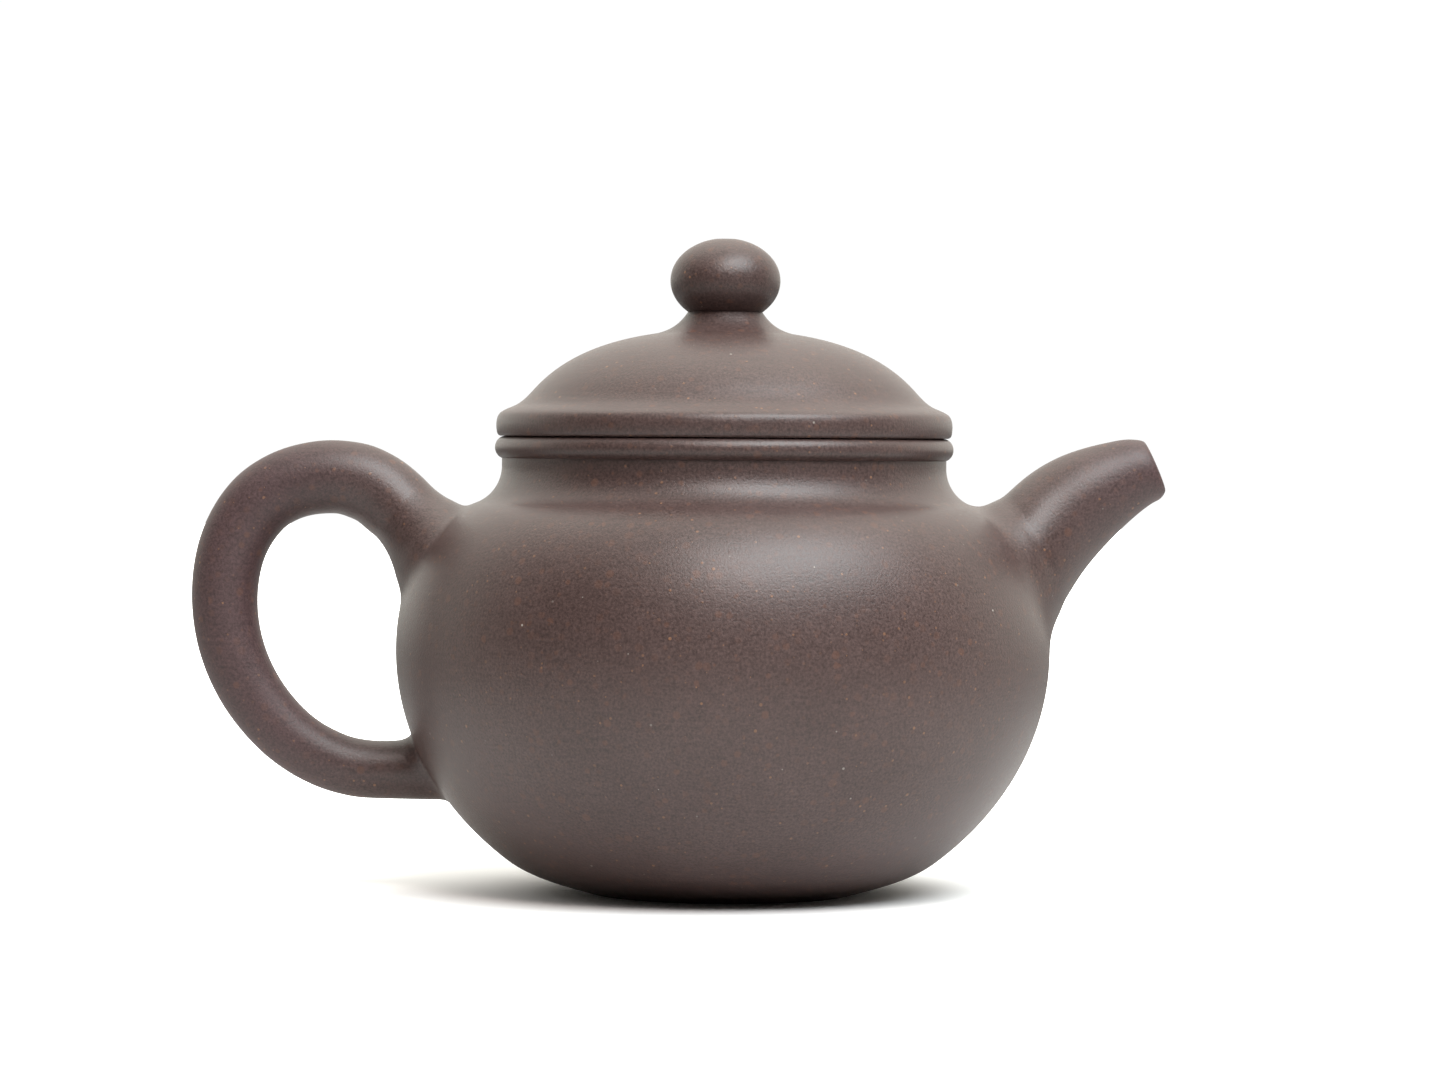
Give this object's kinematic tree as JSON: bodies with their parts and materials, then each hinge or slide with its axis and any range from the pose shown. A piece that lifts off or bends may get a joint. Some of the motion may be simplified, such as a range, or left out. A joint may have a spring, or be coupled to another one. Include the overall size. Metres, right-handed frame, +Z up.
{
  "type": "clay teapot",
  "caption": "Small round hand-built unglazed clay teapot with a short spout, a ring handle and a lift-off domed lid with a ball knob.",
  "frame": {"origin": "on the surface that the pot stands on, under the middle of the overall length and width, handle and spout included", "axes": "+X along the spout, -X along the handle, +Z up along the pot's axis of turning"},
  "size_m": [0.1492, 0.1, 0.1],
  "materials": {
    "purple_clay": "unglazed burnished stoneware, satin, dark purplish brown with fine tan and white grains"
  },
  "bodies": {
    "pot": {"base_disc": "purple_clay", "belly_wall": "purple_clay", "shoulder_disc": "purple_clay", "neck_ring": "purple_clay", "mouth_bead": "purple_clay", "spout": "purple_clay", "spout_root_clay": "purple_clay", "strainer_dome": "purple_clay", "handle": "purple_clay", "handle_top_root_clay": "purple_clay", "handle_bottom_root_clay": "purple_clay"},
    "lid": {"lid_dome": "purple_clay", "lid_rim": "purple_clay", "lid_flange": "purple_clay", "knob_collar": "purple_clay", "knob": "purple_clay"}
  },
  "joints": [
    {"name": "lid_lift", "type": "slide", "parent": "pot", "child": "lid", "axis": [0, 0, 1], "range_m": [0, 0.06]}
  ]
}
